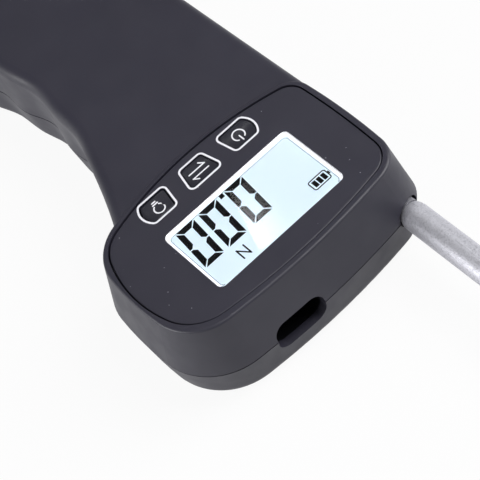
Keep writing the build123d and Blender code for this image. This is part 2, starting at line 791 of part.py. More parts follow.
# ---------------------------------------------------------------- arm holder and load cell
with BuildPart() as arm_holder:
    low, high = seam_height - holder_half_height, seam_height + holder_half_height
    foot_low = cell_base - foot_thickness
    foot_right = cell_left + 2 * cell_screw_inset + cell_screw_pitch
    add(block((holder_left, holder_right), (cell_y[0], holder_front), (low, high)))
    add(block((holder_riser_left, holder_right), cell_y, (foot_low, high)))
    add(block((holder_riser_left, foot_right), cell_y, (foot_low, cell_base)))
    add(sleeve(bushing_radius + fit_gap, 0, (cell_y[0] - slack, holder_front + slack)), mode=Mode.SUBTRACT)
    for x in cell_screws_x[:2]:
        add(post((x, cell_center_y), cell_screw_radius, (0, cell_base + slack)), mode=Mode.SUBTRACT)
arm_holder.part.label = "arm_holder"
export_step(arm_holder.part, "parts/arm_holder.step")

with BuildPart() as arm_bushing:
    add(sleeve(bushing_radius, journal_radius + running_gap, (cell_y[0], holder_front)))
arm_bushing.part.label = "arm_bushing"
export_step(arm_bushing.part, "parts/arm_bushing.step")

with BuildPart() as friction_washers:
    for near in (holder_front + running_gap, cell_y[0] - running_gap - washer_thickness):
        add(sleeve(washer_radius, journal_radius + washer_play, (near, near + washer_thickness)))
friction_washers.part.label = "friction_washers"
export_step(friction_washers.part, "parts/friction_washers.step")

with BuildPart() as retaining_ring:
    add(sleeve(ring_radius, journal_radius - ring_groove_depth + fit_gap, (ring_front - ring_thickness, ring_front)))
    mouth_y = (ring_front - ring_thickness - slack, ring_front + slack)
    mouth_z = (seam_height - ring_radius - slack, seam_height)
    add(block((arm_x - ring_opening / 2, arm_x + ring_opening / 2), mouth_y, mouth_z), mode=Mode.SUBTRACT)
retaining_ring.part.label = "retaining_ring"
export_step(retaining_ring.part, "parts/retaining_ring.step")

with BuildPart() as load_cell:
    add(block((cell_left, cell_right), cell_y, (cell_base, cell_top)))
    cell_middle = ((cell_left + cell_right) / 2, cell_center_y)
    with BuildSketch(Plane.XY.offset(cell_base)):
        with Locations(cell_middle):
            Rectangle(cell_hole_spacing, cell_slit)
            with Locations((-cell_hole_spacing / 2, 0), (cell_hole_spacing / 2, 0)):
                Circle(cell_hole / 2)
    extrude(amount=cell_size, mode=Mode.SUBTRACT)
    for x in cell_screws_x:
        bore = (cell_base - slack, cell_top + slack)
        add(post((x, cell_center_y), cell_screw_radius + cell_screw_play, bore), mode=Mode.SUBTRACT)
load_cell.part.label = "load_cell"
export_step(load_cell.part, "parts/load_cell.step")

with BuildPart() as load_cell_screws:
    for x, end in zip(cell_screws_x, cell_screw_ends):
        add(post((x, cell_center_y), cell_screw_radius - cell_screw_play / 2, (end, cell_top)))
        head_out, head_height = cell_screw_head
        add(post((x, cell_center_y), cell_screw_radius + head_out, (cell_top, cell_top + head_height)))
load_cell_screws.part.label = "load_cell_screws"
export_step(load_cell_screws.part, "parts/load_cell_screws.step")

with BuildPart() as strain_gauges:
    gauge_length, gauge_height, gauge_thickness = gauge_size
    middle_z = (cell_base + cell_top) / 2
    gauge_z = (middle_z - gauge_height / 2, middle_z + gauge_height / 2)
    for side in (-1, 1):
        x = cell_middle[0] + side * cell_hole_spacing / 2
        gauge_x = (x - gauge_length / 2, x + gauge_length / 2)
        add(block(gauge_x, (cell_y[1], cell_y[1] + gauge_thickness), gauge_z))
        add(block(gauge_x, (cell_y[0] - gauge_thickness, cell_y[0]), gauge_z))
strain_gauges.part.label = "strain_gauges"
export_step(strain_gauges.part, "parts/strain_gauges.step")

# ---------------------------------------------------------------- plug opening
with BuildPart() as head_room:
    add(head_shape(wall, seam_height, wall))
    add(head_shape(seam_height, deck_bottom, wall))

with BuildPart() as port_shroud:
    with BuildSketch(Plane((port_x, port_mouth, seam_height - port_drop), x_dir=(1, 0, 0), z_dir=(0, -1, 0))):
        RectangleRounded(port_width + 2 * port_wall, port_height + 2 * port_wall, port_corner + port_wall)
    extrude(amount=port_mouth - port_floor + port_wall)
    add(port_cut.part, mode=Mode.SUBTRACT)
    add(head_room.part, mode=Mode.INTERSECT)
port_shroud.part.label = "port_shroud"
export_step(port_shroud.part, "parts/port_shroud.step")

# ---------------------------------------------------------------- power
battery_z = door_thickness + battery_play + cell_diameter / 2
battery_xs = (grip_center_x - battery_pitch / 2, grip_center_x + battery_pitch / 2)

with BuildPart() as battery_cells:
    for x, turn in zip(battery_xs, (1, -1)):
        near_end = bay_top - plate_metal if turn > 0 else bay_bottom + plate_metal
        nub_radius, nub_height = battery_nub[0] / 2, battery_nub[1]
        with BuildSketch(Plane((x, near_end, battery_z), x_dir=(1, 0, 0), z_dir=(0, -turn, 0))):
            Circle(nub_radius)
        extrude(amount=nub_height)
        with BuildSketch(Plane((x, near_end - turn * nub_height, battery_z), x_dir=(1, 0, 0), z_dir=(0, -turn, 0))):
            Circle(cell_diameter / 2)
        extrude(amount=battery_length)
battery_cells.part.label = "battery_cells"
export_step(battery_cells.part, "parts/battery_cells.step")

with BuildPart() as contact_plates:
    for y in (bay_top - plate_metal, bay_bottom):
        for x in battery_xs:
            half_x, half_z = plate_half
            metal_x = (x - half_x, x + half_x)
            add(block(metal_x, (y, y + plate_metal), (battery_z - half_z, battery_z + half_z)))
contact_plates.part.label = "contact_plates"
export_step(contact_plates.part, "parts/contact_plates.step")

with BuildPart() as contact_springs:
    for x, turn in zip(battery_xs, (1, -1)):
        seat_y = bay_bottom + plate_metal if turn > 0 else bay_top - plate_metal
        start = (x, seat_y + turn * spring_wire / 2, battery_z)
        rise = spring_room - spring_wire
        coil = Helix(rise / spring_turns, rise, spring_radius, start, (0, turn, 0), spring_cone, mode=Mode.PRIVATE)
        with BuildSketch(Plane(coil @ 0, z_dir=coil % 0)):
            Circle(spring_wire / 2)
        sweep(path=coil, is_frenet=True)
contact_springs.part.label = "contact_springs"
export_step(contact_springs.part, "parts/contact_springs.step")

# ---------------------------------------------------------------- case screws
with BuildPart() as case_screws:
    for x, y in case_screws_xy:
        add(post((x, y), case_head_radius, (case_seat - case_head_height, case_seat)))
        add(post((x, y), case_screw_radius, (case_seat, case_seat + case_screw_length)))
case_screws.part.label = "case_screws"
export_step(case_screws.part, "parts/case_screws.step")
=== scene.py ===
"""Looks of a hand-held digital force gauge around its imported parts, in metres.

The gauge lies on its back: +Z points out of the display, +Y runs from the grip to
the arm, +X is to the right of someone who reads the display.
"""

import json
import logging
from dataclasses import dataclass, field
from enum import Enum
from math import atan2, pi, radians, sqrt
from typing import Callable, Sequence

import bmesh
import bpy
import numpy as np
from mathutils import Matrix, Vector


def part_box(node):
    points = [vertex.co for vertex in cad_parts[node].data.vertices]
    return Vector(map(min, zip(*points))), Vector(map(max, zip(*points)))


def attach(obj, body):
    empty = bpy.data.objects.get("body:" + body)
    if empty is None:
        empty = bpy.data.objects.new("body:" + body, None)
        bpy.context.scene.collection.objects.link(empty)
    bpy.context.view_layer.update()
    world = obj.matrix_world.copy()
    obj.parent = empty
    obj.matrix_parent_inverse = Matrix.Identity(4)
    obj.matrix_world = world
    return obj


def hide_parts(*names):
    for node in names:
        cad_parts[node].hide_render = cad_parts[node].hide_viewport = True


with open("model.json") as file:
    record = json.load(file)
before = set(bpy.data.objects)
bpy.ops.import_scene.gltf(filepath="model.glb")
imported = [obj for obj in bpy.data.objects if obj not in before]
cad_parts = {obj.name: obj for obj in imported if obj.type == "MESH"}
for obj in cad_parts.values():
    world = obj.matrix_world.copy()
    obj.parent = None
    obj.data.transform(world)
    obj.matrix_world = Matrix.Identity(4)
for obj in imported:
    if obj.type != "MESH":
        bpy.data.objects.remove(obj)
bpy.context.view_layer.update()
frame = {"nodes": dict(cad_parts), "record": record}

log = logging.getLogger("force_gauge")

MM = 0.001
WELD = 1e-8  # points closer than this are one
FLAT_BOW = 1e-6  # sagitta that stands for a straight edge
Color = tuple[float, float, float]
Triple = tuple[float, float, float]
NOISE_SPREAD = (0.3, 0.7)  # where most values of a noise lie
PATCH_SPREAD = (0.35, 0.65)  # a narrower range, for patches with firmer edges
RIDGE_OFFSETS = np.array([-1.0, -0.8, 0.8, 1.0])  # across a printed ridge, in half widths
RIDGE_LIFTS = np.array([-0.3, 1.0, 1.0, -0.3])  # its height there; the edges are sunk


class Body(Enum):
    """Rigid bodies that pieces ride on."""

    HOUSING = "housing"
    ARM = "arm"
    POWER_BUTTON = "power_button"
    UNIT_BUTTON = "unit_button"
    LIGHT_BUTTON = "light_button"
    BATTERY_LID = "battery_lid"


# ------------------------------------------------------------------ node helpers
class NodeTree:
    """A material's node tree with short calls for the nodes that the finishes need."""

    def __init__(self, name: str) -> None:
        """Starts an empty tree with one Principled shader.

        Args:
            name: the material's name.
        """
        self.material = bpy.data.materials.new(name)
        self.material.use_nodes = True
        self.nodes = self.material.node_tree.nodes
        self.links = self.material.node_tree.links
        self.nodes.clear()
        self.output = self.nodes.new("ShaderNodeOutputMaterial")
        self.shader = self.nodes.new("ShaderNodeBsdfPrincipled")
        self.links.new(self.shader.outputs["BSDF"], self.output.inputs["Surface"])
        self.coordinates = self.nodes.new("ShaderNodeTexCoord").outputs["Object"]

    def constant(self, **values: float | Color) -> None:
        """Sets shader sockets that are the same all over, named with _ for a space."""
        for name, value in values.items():
            socket = self.shader.inputs[name.replace("_", " ")]
            is_color = isinstance(value, tuple)
            socket.default_value = (*value, 1.0) if is_color and len(value) == 3 else value

    def scaled(self, stretch: Triple) -> bpy.types.NodeSocket:
        """Object coordinates stretched along each axis."""
        mapping = self.nodes.new("ShaderNodeMapping")
        mapping.inputs["Scale"].default_value = stretch
        self.links.new(self.coordinates, mapping.inputs["Vector"])
        return mapping.outputs["Vector"]

    def noise(self, size: float, detail: float = 2.0, stretch: Triple | None = None
              ) -> bpy.types.NodeSocket:
        """Noise whose lumps are about the given size across, in metres."""
        texture = self.nodes.new("ShaderNodeTexNoise")
        texture.inputs["Scale"].default_value = 1.0 / size
        texture.inputs["Detail"].default_value = detail
        source = self.scaled(stretch) if stretch else self.coordinates
        self.links.new(source, texture.inputs["Vector"])
        return texture.outputs["Fac"]

    def cells(self, size: float) -> bpy.types.NodeSocket:
        """Distance to the nearest of scattered points, for pits and grains."""
        texture = self.nodes.new("ShaderNodeTexVoronoi")
        texture.inputs["Scale"].default_value = 1.0 / size
        self.links.new(self.coordinates, texture.inputs["Vector"])
        return texture.outputs["Distance"]

    def axis(self, index: int) -> bpy.types.NodeSocket:
        """One of the object coordinates, 0 to 2."""
        split = self.nodes.new("ShaderNodeSeparateXYZ")
        self.links.new(self.coordinates, split.inputs["Vector"])
        return split.outputs[index]

    def remap(self, value: bpy.types.NodeSocket, low: float, high: float, to_low: float, to_high: float
              ) -> bpy.types.NodeSocket:
        """A value moved from one range to another and held at its ends."""
        node = self.nodes.new("ShaderNodeMapRange")
        node.interpolation_type = "SMOOTHSTEP"
        for name, number in (("From Min", low), ("From Max", high), ("To Min", to_low), ("To Max", to_high)):
            node.inputs[name].default_value = number
        self.links.new(value, node.inputs["Value"])
        return node.outputs["Result"]

    def math(self, operation: str, a: bpy.types.NodeSocket | float, b: bpy.types.NodeSocket | float
             ) -> bpy.types.NodeSocket:
        """Two values put through one arithmetic operation."""
        node = self.nodes.new("ShaderNodeMath")
        node.operation = operation
        for socket, value in zip(node.inputs, (a, b)):
            if isinstance(value, (int, float)):
                socket.default_value = value
            else:
                self.links.new(value, socket)
        return node.outputs["Value"]

    def blend(self, share: bpy.types.NodeSocket, first: Color | bpy.types.NodeSocket, second: Color
              ) -> bpy.types.NodeSocket:
        """A colour between two, by a share from 0 to 1; the first may come from a node."""
        node = self.nodes.new("ShaderNodeMix")
        node.data_type = "RGBA"
        colors = [socket for socket in node.inputs if socket.type == "RGBA"]
        for socket, color in zip(colors, (first, second)):
            if isinstance(color, tuple):
                socket.default_value = (*color, 1.0)
            else:
                self.links.new(color, socket)
        self.links.new(share, node.inputs["Factor"])
        return next(socket for socket in node.outputs if socket.type == "RGBA")

    def set(self, name: str, source: bpy.types.NodeSocket) -> None:
        """Feeds a shader socket from a node."""
        self.links.new(source, self.shader.inputs[name])

    def bump(self, height: bpy.types.NodeSocket, depth: float) -> None:
        """Raises the surface by a height map; depth is the map's full height in metres."""
        node = self.nodes.new("ShaderNodeBump")
        node.inputs["Strength"].default_value = 1.0
        node.inputs["Distance"].default_value = depth
        self.links.new(height, node.inputs["Height"])
        self.links.new(node.outputs["Normal"], self.shader.inputs["Normal"])


# ------------------------------------------------------------------ finishes
@dataclass(frozen=True)
class MouldedPlastic:
    """Opaque plastic from a textured mould: fine grain and a faint uneven sheen."""

    name: str
    color: Color
    roughness: float = 0.45
    grain: float = 0.00022
    depth: float = 0.000006
    variation: float = 0.04
    specks: float = 0.0
    cloud: float = 0.018
    sheen_patch: float = 0.006
    sheen_play: tuple[float, float] = (-0.04, 0.05)
    dust_spacing: float = 0.0026
    dust_rim: tuple[float, float] = (0.022, 0.044)
    dust_color: Color = (0.55, 0.55, 0.6)

    def make(self) -> bpy.types.Material:
        """Builds the material."""
        tree = NodeTree(self.name)
        cloud = tree.noise(self.cloud, 3.0)
        light = tuple(min(1.0, c * (1 + self.variation)) for c in self.color)
        dark = tuple(c * (1 - self.variation) for c in self.color)
        shade = tree.blend(tree.remap(cloud, *NOISE_SPREAD, 0.0, 1.0), dark, light)
        if self.specks:
            dust = tree.remap(tree.cells(self.dust_spacing), *self.dust_rim, self.specks, 0.0)
            shade = tree.blend(dust, shade, self.dust_color)
        tree.set("Base Color", shade)
        low, high = (self.roughness + play for play in self.sheen_play)
        tree.set("Roughness", tree.remap(tree.noise(self.sheen_patch), *NOISE_SPREAD, low, high))
        tree.bump(tree.noise(self.grain, 3.0), self.depth)
        return tree.material


@dataclass(frozen=True)
class Metal:
    """Bare metal: blasted, turned or polished by its roughness and grain."""

    name: str
    color: Color
    roughness: float = 0.3
    grain: float = 0.0002
    depth: float = 0.000005
    stretch: Triple = (1.0, 1.0, 1.0)
    metallic: float = 1.0
    shade: float = 0.86
    patch: float = 0.004
    sheen_scale: float = 4.0
    sheen_play: tuple[float, float] = (-0.05, 0.07)

    def make(self) -> bpy.types.Material:
        """Builds the material."""
        tree = NodeTree(self.name)
        tree.constant(Metallic=self.metallic)
        dark = tuple(c * self.shade for c in self.color)
        patches = tree.remap(tree.noise(self.patch, 3.0, self.stretch), *PATCH_SPREAD, 0.0, 1.0)
        tree.set("Base Color", tree.blend(patches, dark, self.color))
        low, high = (self.roughness + play for play in self.sheen_play)
        rough = tree.noise(self.grain * self.sheen_scale, 2.0, self.stretch)
        tree.set("Roughness", tree.remap(rough, *NOISE_SPREAD, low, high))
        tree.bump(tree.noise(self.grain, 2.0, self.stretch), self.depth)
        return tree.material


@dataclass(frozen=True)
class BlastedRod:
    """Bead-blasted steel with a coarser, darker turned neck below a given Y."""

    name: str
    color: Color
    neck_color: Color
    neck_end: float
    metallic: float = 0.7
    neck_fade: float = 0.0002
    mottle: float = 0.0004
    mottle_share: float = 0.8
    sheen_patch: float = 0.0005
    roughness: tuple[float, float] = (0.42, 0.60)
    grain: float = 0.00035
    depth: float = 0.00007

    def make(self) -> bpy.types.Material:
        """Builds the material."""
        tree = NodeTree(self.name)
        tree.constant(Metallic=self.metallic)
        neck = tree.remap(tree.axis(1), self.neck_end - self.neck_fade, self.neck_end, 1.0, 0.0)
        mottle = tree.remap(tree.noise(self.mottle, 4.0), *NOISE_SPREAD, -0.5, 0.5)
        share = tree.math("ADD", neck, tree.math("MULTIPLY", mottle, self.mottle_share))
        tree.set("Base Color", tree.blend(share, self.color, self.neck_color))
        rough = tree.noise(self.sheen_patch, 3.0)
        tree.set("Roughness", tree.remap(rough, *NOISE_SPREAD, *self.roughness))
        tree.bump(tree.noise(self.grain, 3.0), self.depth)
        return tree.material


@dataclass(frozen=True)
class ClearWindow:
    """Clear polished plastic sheet."""

    name: str
    color: Color = (0.98, 0.99, 1.0)
    bending: float = 1.22
    sheen_patch: float = 0.01
    roughness: tuple[float, float] = (0.0, 0.03)

    def make(self) -> bpy.types.Material:
        """Builds the material."""
        tree = NodeTree(self.name)
        tree.constant(Base_Color=self.color, Transmission_Weight=1.0, IOR=self.bending)
        tree.set("Roughness", tree.remap(tree.noise(self.sheen_patch), *NOISE_SPREAD, *self.roughness))
        return tree.material


@dataclass(frozen=True)
class PaintedGlowPanel:
    """Even panel, such as the display or its white frame, with a faint glow that is painted light."""

    name: str
    color: Color
    glow: float
    roughness: float = 0.35
    body: float = 0.5
    lift: float = 1.03
    cloud: float = 0.02

    def make(self) -> bpy.types.Material:
        """Builds the material."""
        tree = NodeTree(self.name)
        pale = tuple(min(1.0, c * self.lift) for c in self.color)
        cloud = tree.remap(tree.noise(self.cloud), *NOISE_SPREAD, 0.0, 1.0)
        unlit, unlit_pale = (tuple(c * self.body for c in color) for color in (self.color, pale))
        tree.set("Base Color", tree.blend(cloud, unlit, unlit_pale))
        tree.set("Emission Color", tree.blend(cloud, self.color, pale))
        # the emission is painted light that brightens these parts; they are no lamps
        tree.constant(Emission_Strength=self.glow, Roughness=self.roughness)
        return tree.material


@dataclass(frozen=True)
class Ink:
    """Printed line or sign."""

    name: str
    color: Color
    roughness: float = 0.5
    shine: float = 0.5
    shade: float = 0.93
    patch: float = 0.0005

    def make(self) -> bpy.types.Material:
        """Builds the material."""
        tree = NodeTree(self.name)
        dark = tuple(c * self.shade for c in self.color)
        patches = tree.remap(tree.noise(self.patch), *NOISE_SPREAD, 0.0, 1.0)
        tree.set("Base Color", tree.blend(patches, dark, self.color))
        tree.constant(Roughness=self.roughness, Specular_IOR_Level=self.shine)
        return tree.material


FINISHES = {
    "housing_plastic": MouldedPlastic("housing_plastic", (0.025, 0.024, 0.037), 0.45),
    "plate_plastic": MouldedPlastic(
        "plate_plastic", (0.027, 0.026, 0.039), 0.42, 0.0003, 0.000003, 0.05, specks=0.9),
    "key_rubber": MouldedPlastic("key_rubber", (0.021, 0.021, 0.030), 0.22, 0.0003, 0.000003, 0.05),
    # socket_black is near-black; on the port shroud it is painted shade for the socket's dark inside
    "socket_black": MouldedPlastic("socket_black", (0.003, 0.003, 0.004), 0.3, 0.0003, 0.000003, 0.05),
    "window_clear": ClearWindow("window_clear"),
    # frame_white, display_glass and light_guide glow with painted light
    "frame_white": PaintedGlowPanel("frame_white", (0.93, 0.92, 0.95), 0.92),
    "display_glass": PaintedGlowPanel("display_glass", (0.70, 0.83, 0.90), 0.72),
    "light_guide": PaintedGlowPanel("light_guide", (0.85, 0.92, 0.97), 0.3),
    "contact_rubber": MouldedPlastic("contact_rubber", (0.10, 0.10, 0.12), 0.6),
    "board_green": MouldedPlastic("board_green", (0.02, 0.16, 0.06), 0.35, 0.0006, 0.00001),
    "chip_black": MouldedPlastic("chip_black", (0.02, 0.02, 0.022), 0.5),
    "switch_body": MouldedPlastic("switch_body", (0.05, 0.05, 0.05), 0.4),
    "plunger_plastic": MouldedPlastic("plunger_plastic", (0.6, 0.6, 0.56), 0.4),
    "hook_steel": Metal("hook_steel", (0.62, 0.62, 0.64), 0.26),
    "screw_steel": Metal("screw_steel", (0.42, 0.42, 0.44), 0.32),
    "cell_aluminium": Metal("cell_aluminium", (0.74, 0.75, 0.77), 0.32, 0.0001, 0.000004, (0.05, 1.0, 1.0)),
    "holder_aluminium": Metal("holder_aluminium", (0.56, 0.57, 0.60), 0.38),
    "bushing_bronze": Metal("bushing_bronze", (0.62, 0.42, 0.20), 0.30),
    "washer_nylon": MouldedPlastic("washer_nylon", (0.70, 0.69, 0.64), 0.4),
    "gauge_film": MouldedPlastic("gauge_film", (0.50, 0.24, 0.05), 0.25),
    "battery_sleeve": Metal("battery_sleeve", (0.16, 0.18, 0.23), 0.35, metallic=0.6),
    "contact_nickel": Metal("contact_nickel", (0.72, 0.70, 0.66), 0.2),
    "white_print": Ink("white_print", (0.82, 0.82, 0.87)),
    "segment_ink": Ink("segment_ink", (0.002, 0.002, 0.003), 0.75, 0.1),
}


class Paints:
    """Makes each finish once and hands it out by its slot's name."""

    neck_length: float = 12.6 * MM

    def __init__(self) -> None:
        """Starts with no material made; the rod's neck ends a set length beyond the washers."""
        neck_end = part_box("friction_washers")[1].y
        self._finishes = dict(FINISHES)
        self._finishes["arm_steel"] = BlastedRod(
            "arm_steel", (0.61, 0.61, 0.66), (0.28, 0.28, 0.31), neck_end + self.neck_length)
        self._made: dict[str, bpy.types.Material] = {}

    def get(self, slot: str) -> bpy.types.Material:
        """The material of a slot.

        Args:
            slot: the record's name of the finish.

        Returns:
            The material, made at the first call.
        """
        if slot not in self._made:
            self._made[slot] = self._finishes[slot].make()
        return self._made[slot]


# ------------------------------------------------------------------ meshes from arrays
def lofted(name: str, rings: np.ndarray, closed: bool = False) -> bpy.types.Object:
    """Closed skin over rings of points.

    Each ring is joined to the next by quads that wrap round the ring. A closed loft
    joins the last ring to the first; an open one gets a face over each end ring.

    Args:
        name: the piece's name.
        rings: array of shape (rings, points, 3).
        closed: whether the rings run in a loop.

    Returns:
        The new object, linked to the scene.
    """
    count, width = rings.shape[:2]
    row = np.arange(count if closed else count - 1)[:, None]
    column = np.arange(width)[None, :]
    after, beside = (row + 1) % count, (column + 1) % width
    quads = np.stack([row * width + column, row * width + beside,
                      after * width + beside, after * width + column], axis=-1).reshape(-1, 4)
    faces = quads.tolist()
    if not closed:
        faces += [np.arange(width)[::-1].tolist(), (np.arange(width) + (count - 1) * width).tolist()]
    mesh = bpy.data.meshes.new(name)
    mesh.from_pydata(rings.reshape(-1, 3).tolist(), [], faces)
    work = bmesh.new()
    work.from_mesh(mesh)
    bmesh.ops.remove_doubles(work, verts=work.verts, dist=WELD)
    bmesh.ops.recalc_face_normals(work, faces=work.faces)
    work.to_mesh(mesh)
    work.free()
    piece = bpy.data.objects.new(name, mesh)
    bpy.context.scene.collection.objects.link(piece)
    return piece


def joined(name: str, parts: Sequence[bpy.types.Object]) -> bpy.types.Object:
    """Puts several pieces into one mesh.

    Args:
        name: the name of the result.
        parts: the pieces, which are used up.

    Returns:
        One object with all their faces.
    """
    work = bmesh.new()
    for part in parts:
        work.from_mesh(part.data)
        bpy.data.objects.remove(part)
    mesh = bpy.data.meshes.new(name)
    work.to_mesh(mesh)
    work.free()
    piece = bpy.data.objects.new(name, mesh)
    bpy.context.scene.collection.objects.link(piece)
    return piece


def mark_creases(piece: bpy.types.Object, angle: float) -> None:
    """Keeps the edges where a smooth piece turns by more than an angle sharp to the eye."""
    work = bmesh.new()
    work.from_mesh(piece.data)
    for edge in work.edges:
        edge.smooth = edge.calc_face_angle(0.0) < angle
    work.to_mesh(piece.data)
    work.free()


Surface = Callable[[np.ndarray, np.ndarray], np.ndarray]


def level(height: float) -> Surface:
    """A flat surface at one height."""
    return lambda x, y: np.full_like(x, height)


@dataclass(frozen=True)
class Outline:
    """Closed round-cornered outline, kept as centres and outward directions.

    A point of the outline grown by d is centre + (radius + d) * direction: the centre
    stays while a corner turns and moves while an edge runs.
    """

    centres: np.ndarray
    directions: np.ndarray
    radius: float

    def grown(self, distance: float) -> np.ndarray:
        """Points of the outline moved outwards by a distance, shape (n, 2)."""
        return self.centres + (self.radius + distance) * self.directions


def round_outline(corners: Sequence[tuple[float, float]], bows: Sequence[float], radius: float,
                  steps: int = 9) -> Outline:
    """Outline of a polygon with rounded corners and edges that may bow outwards.

    Each edge is a circular arc whose sagitta is its bow; a straight edge is a very flat
    arc. Moving both edges of a corner inwards by the radius and crossing them gives the
    corner's centre.

    Args:
        corners: the polygon's corners, anticlockwise.
        bows: sagitta of the edge that starts at each corner.
        radius: corner radius.
        steps: points on each corner and on each bowed edge.

    Returns:
        The outline.
    """
    points = [np.array(corner, float) for corner in corners]
    count = len(points)
    normals, middles, hubs, reaches = [], [], [], []
    for i in range(count):
        start, end = points[i], points[(i + 1) % count]
        run = end - start
        length = np.linalg.norm(run)
        normal = np.array([run[1], -run[0]]) / length
        bow = max(bows[i], FLAT_BOW)
        reach = (length * length / 4 + bow * bow) / (2 * bow)
        normals.append(normal)
        middles.append((start + end) / 2)
        hubs.append((start + end) / 2 - normal * (reach - bow))
        reaches.append(reach)
    centres = []
    for i in range(count):
        before = (i - 1) % count
        inner_before, inner = reaches[before] - radius, reaches[i] - radius
        centres.append(_crossing(hubs[before], inner_before, hubs[i], inner, points[i]))
    all_centres, all_directions = [], []
    for i in range(count):
        before, after = (i - 1) % count, (i + 1) % count
        first = (centres[i] - hubs[before]) / np.linalg.norm(centres[i] - hubs[before])
        second = (centres[i] - hubs[i]) / np.linalg.norm(centres[i] - hubs[i])
        low = atan2(first[1], first[0])
        high = atan2(second[1], second[0])
        turn = np.linspace(low, low + (high - low) % (2 * pi), steps)
        all_centres.append(np.repeat(centres[i][None], steps, 0))
        all_directions.append(np.stack([np.cos(turn), np.sin(turn)], -1))
        if bows[i] > 0:
            last = (centres[after] - hubs[i]) / np.linalg.norm(centres[after] - hubs[i])
            end = atan2(last[1], last[0])
            turn = np.linspace(high, high + (end - high) % (2 * pi), steps)[1:-1]
            along = np.stack([np.cos(turn), np.sin(turn)], -1)
            all_centres.append(hubs[i] + (reaches[i] - radius) * along)
            all_directions.append(along)
    return Outline(np.concatenate(all_centres), np.concatenate(all_directions), radius)


def _crossing(hub_a: np.ndarray, reach_a: float, hub_b: np.ndarray, reach_b: float, near: np.ndarray
              ) -> np.ndarray:
    """The crossing of two circles that lies nearest to a point."""
    run = hub_b - hub_a
    distance = np.linalg.norm(run)
    along = (distance ** 2 + reach_a ** 2 - reach_b ** 2) / (2 * distance)
    aside = sqrt(max(reach_a ** 2 - along ** 2, 0.0))
    unit = run / distance
    side = np.array([-unit[1], unit[0]])
    found = [hub_a + unit * along + side * aside, hub_a + unit * along - side * aside]
    return min(found, key=lambda point: np.linalg.norm(point - near))


def raised(name: str, plan: np.ndarray, z: np.ndarray, closed: bool = False) -> bpy.types.Object:
    """Closed skin over rings given by their plan, shape (rings, points, 2), and heights."""
    return lofted(name, np.concatenate([plan, z[..., None]], -1), closed)


def frame_line(name: str, outline: Outline, width: float, surface: Surface, height: float
               ) -> bpy.types.Object:
    """Printed line along a closed outline, a low ridge with softened edges.

    Its cross-section has the ridge's offsets, times half the width, and the ridge's
    lifts, times the height.
    """
    plan = np.stack([outline.grown(offset) for offset in RIDGE_OFFSETS * width / 2], axis=1)
    z = surface(plan[..., 0], plan[..., 1]) + RIDGE_LIFTS * height
    return raised(name, plan, z, closed=True)


def filled(name: str, edge: np.ndarray, surface: Surface, height: float) -> bpy.types.Object:
    """Low flat-topped shape over a closed edge of points, shape (n, 2).

    Three rings make it: one sunk below the surface, one over it that stands a little
    proud, and a top ring drawn in slightly towards the middle.
    """
    middle = edge.mean(0)
    shares = np.array([1.0, 1.0, 0.985])[:, None, None]
    lifts = np.array([-0.3, 0.6, 1.0])[:, None]
    plan = middle + (edge - middle)[None] * shares
    return raised(name, plan, surface(plan[..., 0], plan[..., 1]) + lifts * height)


def stroke(name: str, path: np.ndarray, width: float, surface: Surface, height: float, steps: int = 5
           ) -> bpy.types.Object:
    """Pen stroke of even width with round ends along an open path.

    Stations follow the path; past each end they go on by sin(a) half widths while the
    half width falls to cos(a), which rounds the end.

    Args:
        name: the piece's name.
        path: points, shape (n, 2).
        width: the pen's width.
        surface: height of what it is printed on.
        height: how far the ink stands proud.
        steps: stations on each round end, the last just short of a point.

    Returns:
        The stroke.
    """
    run = np.gradient(path, axis=0)
    tangent = run / np.linalg.norm(run, axis=1)[:, None]
    half = width / 2
    turn = np.linspace(0.999 * pi / 2, 0.0, steps + 1)[:-1]
    before = path[0] - tangent[0] * half * np.sin(turn)[:, None]
    after = (path[-1] + tangent[-1] * half * np.sin(turn)[:, None])[::-1]
    spine = np.concatenate([before, path, after])
    reach = np.concatenate([np.cos(turn), np.ones(len(path)), np.cos(turn)[::-1]]) * half
    along = np.concatenate([np.repeat(tangent[:1], steps, 0), tangent, np.repeat(tangent[-1:], steps, 0)])
    side = np.stack([-along[:, 1], along[:, 0]], -1)
    plan = spine[:, None] + side[:, None] * (reach[:, None] * RIDGE_OFFSETS)[..., None]
    return raised(name, plan, surface(plan[..., 0], plan[..., 1]) + RIDGE_LIFTS * height)


def line_path(start: tuple[float, float], end: tuple[float, float], steps: int = 5) -> np.ndarray:
    """Evenly spaced points from start to end."""
    share = np.linspace(0.0, 1.0, steps)[:, None]
    return np.array(start) * (1 - share) + np.array(end) * share


def arc_path(centre: tuple[float, float], radius: float, start: float, end: float, steps: int = 28
             ) -> np.ndarray:
    """Points on a circle between two angles in degrees."""
    turn = np.radians(np.linspace(start, end, steps))
    return np.array(centre) + radius * np.stack([np.cos(turn), np.sin(turn)], -1)


def place(piece: bpy.types.Object, body: Body, slot: str, paints: Paints, smooth: bool = False
          ) -> bpy.types.Object:
    """Gives a new piece its finish and the body that it rides on.

    Args:
        piece: the piece.
        body: the body.
        slot: the record's finish.
        paints: the finishes.
        smooth: whether its faces shade as one curve.

    Returns:
        The piece.
    """
    piece.data.materials.clear()
    piece.data.materials.append(paints.get(slot))
    piece.data.polygons.foreach_set("use_smooth", np.full(len(piece.data.polygons), smooth))
    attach(piece, body.value)
    log.info("%s rides on %s", piece.name, body.value)
    return piece


